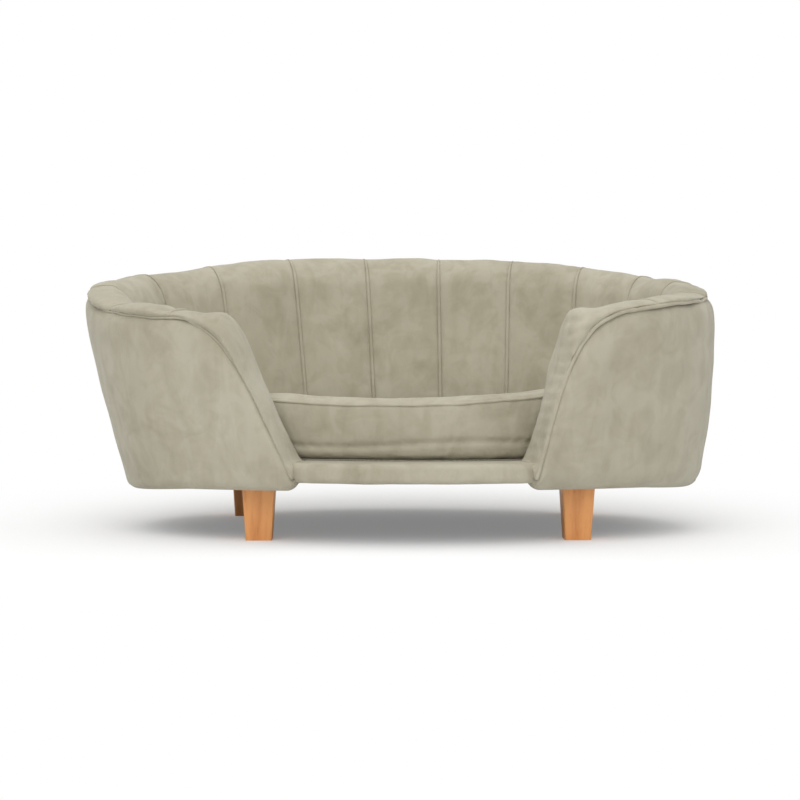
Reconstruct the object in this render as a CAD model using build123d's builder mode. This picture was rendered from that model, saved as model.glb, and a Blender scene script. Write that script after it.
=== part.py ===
from build123d import *

import os
from math import atan2, ceil, copysign, cos, degrees, radians, sin, sqrt, tan

# Dog sofa bed: an oval tub with a channelled wall, open between two sloping arms, with a loose
# cushion inside, on four tapered legs. Millimetres, +Z up, front towards -Y, floor at Z = 0.
# The tub is drawn on an oval of arcs, flatter at the back than at the front, and leans further out on
# its left than on its right. A place along its wall is given by the bearing of the outward normal there,
# 0 at the middle of the back and 180 degrees at the middle of the front. The upholstery is laid out in runs
# round the foot of the wall, from a point a little to the right of that middle.

# Driving sizes of the tub
foot_half_length = 320.0
foot_front_depth = 205.0
foot_back_depth = 230.0
back_end_tightening = 30.0
front_end_tightening = 48.0
back_height = 317.0
side_height = 266.0
arm_height = 241.0
back_lean = 12.0
left_lean = 14.0
right_lean = 6.5
arm_lean = 8.7
shell_foot_height = 57.0
running_gap = 0.3

# Frame timber and board
base_thickness = 12.0
base_set_up = 9.5
board_thickness = 4.0
liner_thickness = 2.5
frame_depth = 16.0
frame_gap = 0.5
board_headroom = 0.9
rail_height = 18.0
post_width = 26.0
back_post_bearing = 20.0
side_post_bearing = 90.0
arm_post_short = 138.4
rail_end_short = 93.0
board_end_short = 33.0

# Outer cover
cover_thickness = 8.0
cover_belly = 3.0
cover_corner_width = 9.0
cover_corner_height = 14.0
cover_roll_width = 17.0
cover_lip_reach = 9.0
cover_lip_thickness = 2.0
welt_diameter = 5.0
welt_drop = 8.0

# Arm fronts: the crest and the outer seam fall in an S from arm height to the front rail. The runs go
# round the foot of the wall, back from the arm's end; an overrun is the part of the S cut off there.
opening_half_width = 127.0
opening_offset = 6.0
crest_fall_run = 52.0
crest_fall_overrun = 4.0
seam_fall_run = 69.0
seam_fall_overrun = 14.0
slot_fall_run = 85.0
slot_fall_short = 13.0
crest_foot_rise = 1.0
seam_foot_rise = 5.0

# Channelled lining: one channel at the middle of the back and pairs on both sides of it, even but for the
# last pair, which takes up the rest of the arms
channel_pairs = 7
channel_pitch = 92.5
channel_foam = 18.0
channel_puff = 9.0
channel_crest_puff = 4.0
roll_depth = 21.0
roll_inner_drop = 30.0
roll_skirt_least = 1.0
roll_least = 2.5
slot_least = 1.5
seam_gap = 0.3
seam_play = 0.8
channel_station_shares = (0.0, 0.15, 0.35, 0.5, 0.65, 0.85, 1.0)
arm_channel_stations = 17

# Seat deck and cushion
deck_thickness = 7.5
deck_tuck = 2.1
cushion_tuck = 3.1
cushion_clearance = 0.4
cushion_height = 56.0
cushion_slope = 2.4
cushion_bow = 2.0
cushion_edge_draw = 3.0
cushion_hollow = 5.0
hollow_reach_share = 0.8
hollow_rim = 3.0
cushion_welt_diameter = 5.0
cushion_welt_seat = 0.35
boxing_level_shares = (0.0, 0.25, 0.5, 0.75, 1.0)
hollow_level_shares = (-0.1, 0.45, 0.75, 0.92, 1.0)
hollow_run_shares = (0.0, 0.1, 0.35, 0.68, 1.0)

# Front rail
front_rail_step_down = 1.3
front_rail_skin = 2.7
front_rail_corner = 7.0
front_rail_batten_width = 34.0

# Legs and their fixings. The front legs stand back from the arm's end, the rear ones at a bearing.
front_leg_short = 67.1
front_leg_inset = 45.3
rear_leg_bearing = 29.8
rear_leg_inset = 43.2
leg_top_side = 36.0
leg_foot_side = 28.0
leg_edge_round = 2.5
bolt_diameter = 8.0
bolt_in_leg = 32.0
bolt_clearance = 0.4
nut_barrel_diameter = 10.0
nut_barrel_length = 9.0
nut_flange_diameter = 22.0
nut_flange_thickness = 1.2
bolt_end_allowance = 2.0
nut_headroom = 1.0
nut_thread_gap = 0.05

# Screws
screw_diameter = 4.0
screw_head_diameter = 8.0
screw_head_height = 2.4
screw_in_post = 26.0
screw_clearance = 0.2

# Dust cover
dust_cover_thickness = 0.8
dust_cover_margin = 1.0
staple_count = 24
staple_margin = 4.0
staple_crown_length = 11.0
staple_wire = 0.8
staple_crown_thickness = 0.5

# Cushion zip, on the back of the boxing
zip_half_length = 175.0
zip_tape_width = 22.0
zip_tape_thickness = 0.7
zip_chain_width = 5.0
zip_chain_thickness = 1.4
slider_end_gap = 17.5
slider_length = 11.0
slider_width = 9.0
slider_plate = 0.9
slider_gap = 0.35
pull_length = 17.0
pull_width = 5.0
pull_thickness = 0.8
pull_overlap = 3.0

# Places of the stations along the wall
station_spacing = 26.0
arm_station_spacing = 7.0
slope_step = 0.25

# Worked out from the sizes above
back_end_radius = foot_back_depth - back_end_tightening
front_end_radius = foot_front_depth - front_end_tightening
back_end_x = foot_half_length - back_end_radius
front_end_x = foot_half_length - front_end_radius
back_radius = (back_end_x**2 + foot_back_depth**2 - back_end_radius**2) / (2 * back_end_tightening)
front_radius = (front_end_x**2 + foot_front_depth**2 - front_end_radius**2) / (2 * front_end_tightening)
back_offset = back_radius - foot_back_depth
front_offset = front_radius - foot_front_depth
back_blend = degrees(atan2(back_end_x, back_offset))
front_blend = 180.0 - degrees(atan2(front_end_x, front_offset))
side_rise = side_height - welt_drop - shell_foot_height
oval_centre_x = side_rise * (tan(radians(left_lean)) - tan(radians(right_lean))) / 2
back_rise = back_height - welt_drop - shell_foot_height
back_overhang = back_rise * tan(radians(back_lean)) + welt_diameter + running_gap
oval_centre_y = (foot_front_depth - foot_back_depth - back_overhang) / 2
base_underside_height = shell_foot_height + base_set_up
base_top = base_underside_height + base_thickness
board_foot = base_top + running_gap
lining_foot = base_top + nut_flange_thickness + bolt_end_allowance + nut_headroom
board_inset = cover_thickness + running_gap
frame_inset = board_inset + board_thickness + frame_gap
liner_inset = frame_inset + frame_depth + frame_gap
foam_inset = liner_inset + liner_thickness + running_gap
lining_inset = foam_inset + channel_foam
deck_inset = lining_inset + channel_puff - deck_tuck
cushion_inset = lining_inset + channel_puff - cushion_tuck
deck_foot = board_foot
deck_top = deck_foot + deck_thickness
cushion_foot = deck_top + cushion_clearance
front_rail_height = deck_top - front_rail_step_down
crest_foot_height = front_rail_height + crest_foot_rise
seam_foot_height = shell_foot_height + seam_foot_rise
cover_lip_width = cover_roll_width + cover_lip_reach
dust_cover_inset = cover_roll_width + dust_cover_margin
staple_inset = dust_cover_inset + staple_margin
lip_underside = base_underside_height - cover_lip_thickness
leg_top = lip_underside - dust_cover_thickness
bolt_top = base_top + nut_flange_thickness + bolt_end_allowance


def oval_point(bearing, inset=0.0):
    """Point of the oval, moved inwards by inset: tangent arcs of the back, the ends and the front."""
    side = copysign(1.0, bearing)
    turn = abs(bearing)
    if turn <= back_blend:
        centre_x, centre_y, radius = 0.0, -back_offset, back_radius
    elif turn <= 90.0:
        centre_x, centre_y, radius = back_end_x, 0.0, back_end_radius
    elif turn < front_blend:
        centre_x, centre_y, radius = front_end_x, 0.0, front_end_radius
    else:
        centre_x, centre_y, radius = 0.0, front_offset, front_radius
    x = centre_x + (radius - inset) * sin(radians(turn))
    y = centre_y + (radius - inset) * cos(radians(turn))
    return Vector(side * x + oval_centre_x, y + oval_centre_y, 0.0)


def wall_plane(bearing, inset=0.0):
    """Upright plane across the wall: its x runs outwards, its y runs up, its origin is on the floor."""
    out = Vector(sin(radians(bearing)), cos(radians(bearing)), 0.0)
    return Plane(origin=oval_point(bearing, inset), x_dir=out, z_dir=out.cross(Vector(0, 0, 1)))


arcs_round = (
    (0.0, back_blend, back_radius),
    (back_blend, 90.0, back_end_radius),
    (90.0, front_blend, front_end_radius),
    (front_blend, 180.0, front_radius),
)


def distance_at(bearing):
    """Distance round the foot of the wall from the middle of the back to a bearing, negative to the left."""
    turn = abs(bearing)
    run = sum(radius * radians(min(max(turn, start), end) - start) for start, end, radius in arcs_round)
    return copysign(run, bearing)


def bearing_at(distance):
    """Bearing at a distance round the foot of the wall from the middle of the back."""
    left_over = abs(distance)
    for start, end, radius in arcs_round:
        turn = start + degrees(left_over / radius)
        if turn <= end:
            break
        left_over -= radius * radians(end - start)
    return copysign(turn, distance)


arm_run = distance_at(180.0) - opening_half_width


def frame_bearing(run):
    """Bearing, for the posts and the legs, at a run back from where the arm would end if the opening were
    in the middle."""
    return bearing_at(arm_run - run)


def upholstery_bearing(run):
    """Bearing at a run of the upholstery, which is laid out from opposite the middle of the opening."""
    return bearing_at(run + opening_offset)


def run_to_end(bearing):
    """Run round the foot of the wall from a bearing to the end of its arm."""
    return arm_run - abs(distance_at(bearing) - opening_offset)


arm_post_bearing = frame_bearing(arm_post_short)
post_bearings = [-arm_post_bearing, -side_post_bearing, -back_post_bearing]
post_bearings += [back_post_bearing, side_post_bearing, arm_post_bearing]
leg_spots = {}
for side_name, side_sign in (("left", -1), ("right", 1)):
    front_bearing = side_sign * frame_bearing(front_leg_short)
    leg_spots[f"leg_front_{side_name}"] = oval_point(front_bearing, front_leg_inset)
    leg_spots[f"leg_rear_{side_name}"] = oval_point(side_sign * rear_leg_bearing, rear_leg_inset)


def outer_face(bearing, height):
    """Place of the outer face across the wall, outwards from the oval: the wall leans out as it rises."""
    turn = radians(bearing)
    side_lean = (right_lean + left_lean) / 2 + (right_lean - left_lean) / 2 * sin(turn)
    end_lean = back_lean if abs(bearing) < 90.0 else arm_lean
    lean = side_lean + (end_lean - side_lean) * cos(turn) ** 2
    return (height - shell_foot_height) * tan(radians(lean))


def rim_height(bearing):
    """Height of the rim before the arm fronts: a parabola through the arm, side and back heights."""
    t = cos(radians(bearing))
    slope, curve = (back_height - arm_height) / 2, (back_height + arm_height) / 2 - side_height
    return side_height + slope * t + curve * t * t


def s_fall(bearing, start, end, high, low):
    """Smooth fall from high to low as the run to the arm's end goes from start to end."""
    share = min(1.0, max(0.0, (start - run_to_end(bearing)) / (start - end)))
    return high + (low - high) * share * share * (3.0 - 2.0 * share)


def crest_height(bearing):
    return s_fall(bearing, crest_fall_run, -crest_fall_overrun, rim_height(bearing), crest_foot_height)


def seam_height(bearing):
    high = rim_height(bearing) - welt_drop
    return s_fall(bearing, seam_fall_run, -seam_fall_overrun, high, seam_foot_height)


def board_top(bearing):
    """Top of the slot for the boards and the rim rail, under the roll."""
    high, low = rim_height(bearing) - roll_depth, lining_foot + slot_least
    return s_fall(bearing, slot_fall_run, slot_fall_short, high, low)


def seam_clearance(bearing):
    """Gap under a channel at the seam, wider straight down where the seam slopes."""
    fall = seam_height(bearing - slope_step) - seam_height(bearing + slope_step)
    run = front_radius * radians(2 * slope_step)
    return seam_play * sqrt(1.0 + (fall / run) ** 2)


def spans(end_short=0.0):
    """Stations of the left arm front, the level wall and the right arm front, which meet in shared planes."""
    level_run, end_run = arm_run - seam_fall_run, arm_run - end_short
    level_count = ceil(level_run / station_spacing)
    level = [level_run * i / level_count for i in range(1, level_count)]
    level = [run for run in level if run < end_run] + [min(end_run, level_run)]
    level = [-run for run in reversed(level)] + [0.0] + level
    if end_run <= level_run:
        return [[upholstery_bearing(run) for run in level]]
    fall_count = ceil((end_run - level_run) / arm_station_spacing)
    fall = [level_run + (end_run - level_run) * i / fall_count for i in range(fall_count + 1)]
    left_fall = [-run for run in reversed(fall)]
    return [[upholstery_bearing(run) for run in span] for span in (left_fall, level, fall)]


def draw_oval(inset):
    """Closed oval of six arcs, drawn inside the line builder that calls it."""
    bearings = (0.0, back_blend, (back_blend + 90.0) / 2, 90.0, (90.0 + front_blend) / 2, front_blend, 180.0)
    places = [oval_point(b, inset) for b in bearings]
    right = [(p.X, p.Y) for p in places]
    left = [(2 * oval_centre_x - p.X, p.Y) for p in places]
    ThreePointArc(left[1], right[0], right[1])
    ThreePointArc(right[1], right[2], right[3])
    ThreePointArc(right[3], right[4], right[5])
    ThreePointArc(right[5], right[6], left[5])
    ThreePointArc(left[5], left[4], left[3])
    ThreePointArc(left[3], left[2], left[1])


def save(part, name):
    part.label = name
    export_step(part, f"parts/{name}.step")


os.makedirs("parts", exist_ok=True)


# Base panel: the oval plywood platform, bored for the leg nuts and for the post screws
def post_middle(bearing, height):
    """Middle of the frame depth at a height, outwards from the oval."""
    return outer_face(bearing, height) - frame_inset - frame_depth / 2


post_screw_height = board_foot + screw_in_post / 2
post_screw_spots = [oval_point(b, -post_middle(b, post_screw_height)) for b in post_bearings]
screw_sink_locations = [Location((p.X, p.Y, base_underside_height), (180, 0, 0)) for p in post_screw_spots]

with BuildPart() as base_panel:
    with BuildSketch(Plane.XY.offset(base_underside_height)):
        with BuildLine():
            draw_oval(board_inset)
        make_face()
    extrude(amount=base_thickness)
    with Locations(*[(spot.X, spot.Y, base_top) for spot in leg_spots.values()]):
        Hole(radius=nut_barrel_diameter / 2 + bolt_clearance / 2, depth=base_thickness)
    with Locations(*screw_sink_locations):
        CounterSinkHole(
            screw_diameter / 2 + screw_clearance,
            screw_head_diameter / 2 + screw_clearance,
            base_thickness,
        )
save(base_panel.part, "base_panel")


# Seat deck: the padded board that the cushion rests on
with BuildPart() as seat_deck:
    with BuildSketch(Plane.XY.offset(deck_foot)):
        with BuildLine():
            draw_oval(deck_inset)
        make_face()
    extrude(amount=deck_thickness)
save(seat_deck.part, "seat_deck")


# Bent boards: the outer board carries the outer cover, the liner carries the channelled foam
def bent_board(inset, thickness, foot):
    """Strip of thin board bent round the oval, leaning with the wall, with its top under the roll."""
    with BuildPart() as board:
        for span in spans(board_end_short):
            for bearing in span:
                top = board_top(bearing) - board_headroom
                low, high = outer_face(bearing, foot), outer_face(bearing, top)
                with BuildSketch(wall_plane(bearing)):
                    with BuildLine():
                        Polyline(
                            (low - inset, foot),
                            (high - inset, top),
                            (high - inset - thickness, top),
                            (low - inset - thickness, foot),
                            close=True,
                        )
                    make_face()
            loft()
    return board.part


save(bent_board(board_inset, board_thickness, board_foot), "outer_board")
save(bent_board(liner_inset, liner_thickness, lining_foot), "lining_board")


# Rim rail: the laminated rail between the boards under the roll
with BuildPart() as rim_rail:
    for rail_bearing in spans(rail_end_short)[0]:
        rail_top = board_top(rail_bearing) - board_headroom
        rail_foot = rail_top - rail_height
        top_place = outer_face(rail_bearing, rail_top) - frame_inset
        foot_place = outer_face(rail_bearing, rail_foot) - frame_inset
        with BuildSketch(wall_plane(rail_bearing)):
            with BuildLine():
                Polyline(
                    (foot_place, rail_foot),
                    (top_place, rail_top),
                    (top_place - frame_depth, rail_top),
                    (foot_place - frame_depth, rail_foot),
                    close=True,
                )
            make_face()
    loft()
save(rim_rail.part, "rim_rail")


# Posts: leaning blocks that stand on the base and carry the rail, bored for the screws from below
post_hollow = (post_width / 2) ** 2 / (2 * (front_end_radius - frame_inset))
for post_number, post_bearing in enumerate(post_bearings, start=1):
    edge_turn = degrees(post_width / 2 / front_end_radius)
    rail_top = min(board_top(post_bearing - edge_turn), board_top(post_bearing + edge_turn)) - board_headroom
    post_top = rail_top - rail_height - running_gap
    post_out = outer_face(post_bearing, base_top) - frame_inset - post_hollow
    post_in = outer_face(post_bearing, base_top) - frame_inset - frame_depth
    post_rise = outer_face(post_bearing, post_top) - outer_face(post_bearing, base_top)
    with BuildPart() as post:
        with BuildSketch(wall_plane(post_bearing)):
            with BuildLine():
                Polyline(
                    (post_out, base_top),
                    (post_out + post_rise, post_top),
                    (post_in + post_rise, post_top),
                    (post_in, base_top),
                    close=True,
                )
            make_face()
        extrude(amount=post_width / 2, both=True)
        post_spot = post_screw_spots[post_number - 1]
        with Locations(Location((post_spot.X, post_spot.Y, base_top), (180, 0, 0))):
            Hole(radius=screw_diameter / 2, depth=screw_in_post + running_gap)
    save(post.part, f"post_{post_number:02d}")


# Post screws: countersunk, from the underside of the base into the posts
with BuildPart() as post_screws:
    for spot in post_screw_spots:
        with BuildSketch(Plane(origin=(spot.X, spot.Y, 0), x_dir=(1, 0, 0), z_dir=(0, -1, 0))):
            with BuildLine():
                Polyline(
                    (0, base_underside_height),
                    (screw_head_diameter / 2, base_underside_height),
                    (screw_diameter / 2, base_underside_height + screw_head_height),
                    (screw_diameter / 2, base_top + screw_in_post - screw_diameter),
                    (0, base_top + screw_in_post),
                    close=True,
                )
            make_face()
        revolve(axis=Axis((spot.X, spot.Y, 0), (0, 0, 1)))
save(post_screws.part, "post_screws")


# Outer cover: padded cloth from the seam under the rim, down the outer board and under the base
def draw_cover(bearing):
    """Section of the cover: flat inside, full outside, with a round foot and a lip under the base."""
    seam = seam_height(bearing)
    seam_place = outer_face(bearing, seam)
    corner_top = min(shell_foot_height + cover_corner_height, (shell_foot_height + seam) / 2)
    corner_place = outer_face(bearing, corner_top)
    corner_width = corner_place + cover_corner_width
    belly = cover_belly * (seam - corner_top) / (rim_height(bearing) - welt_drop - shell_foot_height)
    board_foot_place = outer_face(bearing, base_underside_height) - cover_thickness
    Line((seam_place - cover_thickness, seam), (seam_place, seam))
    ThreePointArc(
        (seam_place, seam),
        ((seam_place + corner_place) / 2 + belly, (seam + corner_top) / 2),
        (corner_place, corner_top),
    )
    ThreePointArc(
        (corner_place, corner_top),
        (
            corner_place - corner_width * (1 - cos(radians(45))),
            corner_top - (corner_top - shell_foot_height) * sin(radians(45)),
        ),
        (-cover_corner_width, shell_foot_height),
    )
    Polyline(
        (-cover_corner_width, shell_foot_height),
        (-cover_roll_width, lip_underside),
        (-cover_lip_width, lip_underside),
        (-cover_lip_width, base_underside_height),
        (board_foot_place, base_underside_height),
        (seam_place - cover_thickness, seam),
    )


with BuildPart() as outer_cover:
    for cover_span in spans():
        for cover_bearing in cover_span:
            with BuildSketch(wall_plane(cover_bearing)):
                with BuildLine():
                    draw_cover(cover_bearing)
                make_face()
        loft()
save(outer_cover.part, "outer_cover")


# Channels: each goes up the inside, over the rim rail and down to the outer seam, between two flat seams
def shoulder_drop(reach, whole_reach, whole_drop):
    """Drop, at a reach from its level top, of the arc that has a whole reach and drop."""
    radius = (whole_reach**2 + whole_drop**2) / (2 * whole_drop)
    return radius - sqrt(radius**2 - reach**2)


def draw_shoulder(top, end):
    """Arc that leaves its top level and ends at a lower point, on either side."""
    reach, drop = end[0] - top[0], top[1] - end[1]
    middle = (top[0] + reach / 2, top[1] - shoulder_drop(reach / 2, reach, drop))
    ThreePointArc(top, middle, end)


def draw_channel(bearing, fullness):
    """Section of a channel across the wall, drawn in at its seams and full at its middle."""
    crest, under = crest_height(bearing), board_top(bearing)
    seam = seam_height(bearing) + seam_clearance(bearing)
    height_share = (crest - lining_foot) / (rim_height(bearing) - lining_foot)
    crest -= channel_crest_puff * (1.0 - fullness) * height_share
    inset = lining_inset + channel_puff * fullness
    crest_place = (outer_face(bearing, crest) * 2 - inset) / 2
    outer_reach = outer_face(bearing, crest) - crest_place
    skirt = max(seam + roll_skirt_least, crest - outer_reach)
    drop = min(roll_inner_drop, crest - lining_foot - slot_least)
    inner = crest - drop
    skirt_place, inner_place = outer_face(bearing, skirt), outer_face(bearing, inner) - inset
    corner_reach = outer_face(bearing, under) - board_inset - crest_place
    corner_drop = shoulder_drop(corner_reach, skirt_place - crest_place, crest - skirt)
    corner = min(under, crest - corner_drop - roll_least)
    Line((outer_face(bearing, seam), seam), (skirt_place, skirt))
    draw_shoulder((crest_place, crest), (skirt_place, skirt))
    draw_shoulder((crest_place, crest), (inner_place, inner))
    Polyline(
        (inner_place, inner),
        (outer_face(bearing, lining_foot) - inset, lining_foot),
        (outer_face(bearing, lining_foot) - foam_inset, lining_foot),
        (outer_face(bearing, under) - foam_inset, under),
        (outer_face(bearing, corner) - board_inset, corner),
        (outer_face(bearing, seam) - board_inset, seam),
        (outer_face(bearing, seam), seam),
    )


def channel(start, end, shares):
    """Lofted channel between two runs of the upholstery, short of each by half the seam gap."""
    with BuildPart() as lobe:
        for share in shares:
            bearing = upholstery_bearing(start + seam_gap / 2 + (end - start - seam_gap) * share)
            with BuildSketch(wall_plane(bearing)):
                with BuildLine():
                    draw_channel(bearing, 4 * share * (1 - share))
                make_face()
        loft()
    return lobe.part


channel_edges = [(place + 0.5) * channel_pitch for place in range(-channel_pairs, channel_pairs)]
channel_edges = [-arm_run] + channel_edges + [arm_run]

for channel_number in range(2 * channel_pairs + 1):
    place = channel_number - channel_pairs
    if abs(place) == channel_pairs:
        channel_shares = [station / (arm_channel_stations - 1) for station in range(arm_channel_stations)]
    else:
        channel_shares = channel_station_shares
    channel_start, channel_end = channel_edges[channel_number], channel_edges[channel_number + 1]
    save(channel(channel_start, channel_end, channel_shares), f"channel_{channel_number + 1:02d}")


# Rim welt: the covered cord in the seam between the outer cover and the channels
def seam_point(bearing):
    """Middle of the welt at a bearing, just clear of the outer face."""
    height = seam_height(bearing)
    foot = oval_point(bearing, -(outer_face(bearing, height) + running_gap + welt_diameter / 2))
    return Vector(foot.X, foot.Y, height)


def draw_ring(radius):
    """Circle of four quarter arcs, drawn inside the line builder that calls it."""
    for start_angle in (0, 90, 180, 270):
        CenterArc((0, 0), radius, start_angle, 90)


with BuildPart() as rim_welt:
    for welt_span in spans():
        for welt_bearing in welt_span:
            ahead, behind = seam_point(welt_bearing + slope_step), seam_point(welt_bearing - slope_step)
            across = wall_plane(welt_bearing).x_dir
            with BuildSketch(Plane(origin=seam_point(welt_bearing), x_dir=across, z_dir=ahead - behind)):
                with BuildLine():
                    draw_ring(welt_diameter / 2)
                make_face()
        loft()
save(rim_welt.part, "rim_welt")


# Front rail: a batten on the base and the padded strip that wraps it, turned about the front arc's centre
front_axis = Axis((oval_centre_x, front_offset + oval_centre_y, 0), (0, 0, 1))
rail_left_bearing = 360.0 + upholstery_bearing(-arm_run - 2 * running_gap)
rail_right_bearing = upholstery_bearing(arm_run + 2 * running_gap)
rail_turn = rail_left_bearing - rail_right_bearing
front_rail_plane = wall_plane(rail_left_bearing)
rail_skin_foot = front_rail_height - front_rail_skin
batten_top = rail_skin_foot - running_gap

with BuildPart() as front_batten:
    with BuildSketch(front_rail_plane):
        with BuildLine():
            Polyline(
                (-board_inset, base_top),
                (-board_inset, batten_top),
                (-board_inset - front_rail_batten_width, batten_top),
                (-board_inset - front_rail_batten_width, base_top),
                close=True,
            )
        make_face()
    revolve(axis=front_axis, revolution_arc=rail_turn)
save(front_batten.part, "front_batten")

with BuildPart() as front_rail_cover:
    rail_curve = front_rail_corner * (1 - cos(radians(45)))
    with BuildSketch(front_rail_plane):
        with BuildLine():
            Polyline(
                (-front_rail_corner, front_rail_height),
                (running_gap - deck_inset, front_rail_height),
                (running_gap - deck_inset, rail_skin_foot),
                (-cover_thickness, rail_skin_foot),
                (-cover_thickness, base_underside_height),
                (-cover_lip_width, base_underside_height),
                (-cover_lip_width, lip_underside),
                (-front_rail_corner, lip_underside),
            )
            ThreePointArc(
                (-front_rail_corner, lip_underside),
                (-rail_curve, lip_underside + rail_curve),
                (0, lip_underside + front_rail_corner),
            )
            Line((0, lip_underside + front_rail_corner), (0, front_rail_height - front_rail_corner))
            ThreePointArc(
                (0, front_rail_height - front_rail_corner),
                (-rail_curve, front_rail_height - rail_curve),
                (-front_rail_corner, front_rail_height),
            )
        make_face()
    revolve(axis=front_axis, revolution_arc=rail_turn)
save(front_rail_cover.part, "front_rail_cover")


# Legs: tapered square blocks, bored from the top for their bolts
for leg_name, spot in leg_spots.items():
    with BuildPart() as leg:
        for level, side in ((0.0, leg_foot_side), (leg_top, leg_top_side)):
            with BuildSketch(Plane(origin=(spot.X, spot.Y, level))):
                RectangleRounded(side, side, leg_edge_round)
        loft()
        with Locations((spot.X, spot.Y, leg_top)):
            Hole(radius=bolt_diameter / 2, depth=bolt_in_leg)
    save(leg.part, leg_name)

# Hanger bolts: half in the leg, half up through the base
with BuildPart() as hanger_bolts:
    for spot in leg_spots.values():
        with BuildSketch(Plane(origin=(spot.X, spot.Y, leg_top - bolt_in_leg))):
            Circle(bolt_diameter / 2)
        extrude(amount=bolt_in_leg + bolt_top - leg_top)
save(hanger_bolts.part, "hanger_bolts")

# Leg nuts: a flange on top of the base and a barrel in its bore
with BuildPart() as leg_nuts:
    for spot in leg_spots.values():
        with BuildSketch(Plane(origin=(spot.X, spot.Y, base_top))):
            Circle(nut_flange_diameter / 2)
        extrude(amount=nut_flange_thickness)
        with BuildSketch(Plane(origin=(spot.X, spot.Y, base_top - nut_barrel_length))):
            Circle(nut_barrel_diameter / 2)
        extrude(amount=nut_barrel_length)
        with Locations((spot.X, spot.Y, base_top + nut_flange_thickness)):
            Hole(radius=bolt_diameter / 2 + nut_thread_gap, depth=nut_flange_thickness + nut_barrel_length)
save(leg_nuts.part, "leg_nuts")


# Dust cover: the cloth under the base, over the lips of the covers, with a row of staples
with BuildPart() as dust_cover:
    with BuildSketch(Plane.XY.offset(leg_top)):
        with BuildLine():
            draw_oval(dust_cover_inset)
        make_face()
        with Locations(*[(spot.X, spot.Y) for spot in leg_spots.values()]):
            Circle(bolt_diameter / 2 + bolt_clearance, mode=Mode.SUBTRACT)
    extrude(amount=dust_cover_thickness)
save(dust_cover.part, "dust_cover")

with BuildPart() as dust_cover_staples:
    for staple_number in range(staple_count):
        staple_bearing = 360.0 * (staple_number + 0.5 - staple_count / 2) / staple_count
        staple_place = oval_point(staple_bearing, staple_inset)
        staple_plane = Plane(
            origin=(staple_place.X, staple_place.Y, leg_top - staple_crown_thickness),
            x_dir=wall_plane(staple_bearing).x_dir,
            z_dir=(0, 0, 1),
        )
        with BuildSketch(staple_plane):
            Rectangle(staple_wire, staple_crown_length)
        extrude(amount=staple_crown_thickness)
save(dust_cover_staples.part, "dust_cover_staples")


# Seat cushion: bowed boxing, a drawn-in neck behind the welt and a hollowed top, lower at the back
def boxing_inset(level_share):
    """Inset of the boxing: a parabola, full at half height and drawn in at the seams."""
    return cushion_inset - cushion_bow + (cushion_bow + cushion_edge_draw) * (2 * level_share - 1) ** 2


def cushion_plane(rise, slope_share=1.0):
    """Plane across the cushion at a rise over its foot, with a share of the slope of its top."""
    slope = radians(cushion_slope * slope_share)
    return Plane(origin=(0, 0, cushion_foot + rise), x_dir=(1, 0, 0), z_dir=(0, sin(slope), cos(slope)))


cushion_edge_inset = boxing_inset(1.0)
neck_half_height = cushion_welt_diameter / 2 + cushion_welt_seat
neck_inset = cushion_edge_inset + cushion_welt_diameter / 2 + cushion_welt_seat
boxing_height = cushion_height - neck_half_height
hollow_run = (front_end_radius - cushion_edge_inset) * hollow_reach_share
hollow_depth = neck_half_height + cushion_hollow
half_height_share = 0.5

with BuildPart() as seat_cushion:
    for level_share in boxing_level_shares:
        with BuildSketch(cushion_plane(boxing_height * level_share, level_share)):
            with BuildLine():
                draw_oval(boxing_inset(level_share))
            make_face()
    loft()
    with BuildSketch(cushion_plane(boxing_height)):
        with BuildLine():
            draw_oval(neck_inset)
        make_face()
    extrude(amount=2 * neck_half_height)
    for level_share, run_share in zip(hollow_level_shares, hollow_run_shares):
        with BuildSketch(cushion_plane(cushion_height + neck_half_height - hollow_depth * level_share)):
            with BuildLine():
                draw_oval(neck_inset + hollow_rim + hollow_run * run_share)
            make_face()
    loft(mode=Mode.SUBTRACT)
save(seat_cushion.part, "seat_cushion")

# Cushion welt: a covered cord round the top seam, in the neck
with BuildPart() as cushion_welt:
    with BuildLine(cushion_plane(cushion_height)) as welt_path:
        draw_oval(cushion_edge_inset)
    with BuildSketch(Plane(origin=welt_path.line @ 0, z_dir=welt_path.line % 0)):
        Circle(cushion_welt_diameter / 2)
    sweep()
save(cushion_welt.part, "cushion_welt")


# Cushion zip: tape and chain on the back of the boxing, turned about the back arc's centre
back_axis = Axis((oval_centre_x, oval_centre_y - back_offset, 0), (0, 0, 1))
zip_inset = boxing_inset(half_height_share)
zip_drop = oval_point(0.0, zip_inset).Y * tan(radians(cushion_slope * half_height_share))
zip_height = cushion_foot + boxing_height / 2 - zip_drop
zip_half_angle = degrees(zip_half_length / (back_radius - zip_inset))
slider_parked_bearing = zip_half_angle - degrees(slider_end_gap / (back_radius - zip_inset))
tape_place = running_gap - zip_inset
chain_place = tape_place + zip_tape_thickness
chain_face = chain_place + zip_chain_thickness

with BuildPart() as cushion_zip:
    with BuildSketch(wall_plane(zip_half_angle)):
        with BuildLine():
            Polyline(
                (tape_place, zip_height - zip_tape_width / 2),
                (tape_place, zip_height + zip_tape_width / 2),
                (chain_place, zip_height + zip_tape_width / 2),
                (chain_place, zip_height + zip_chain_width / 2),
                (chain_face, zip_height + zip_chain_width / 2),
                (chain_face, zip_height - zip_chain_width / 2),
                (chain_place, zip_height - zip_chain_width / 2),
                (chain_place, zip_height - zip_tape_width / 2),
                close=True,
            )
        make_face()
    revolve(axis=back_axis, revolution_arc=2 * zip_half_angle)
save(cushion_zip.part, "cushion_zip")

# Zip slider: a channel-shaped body that straddles the chain
slider_plane = wall_plane(slider_parked_bearing)
slider_face = chain_face + slider_gap + slider_plate

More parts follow.
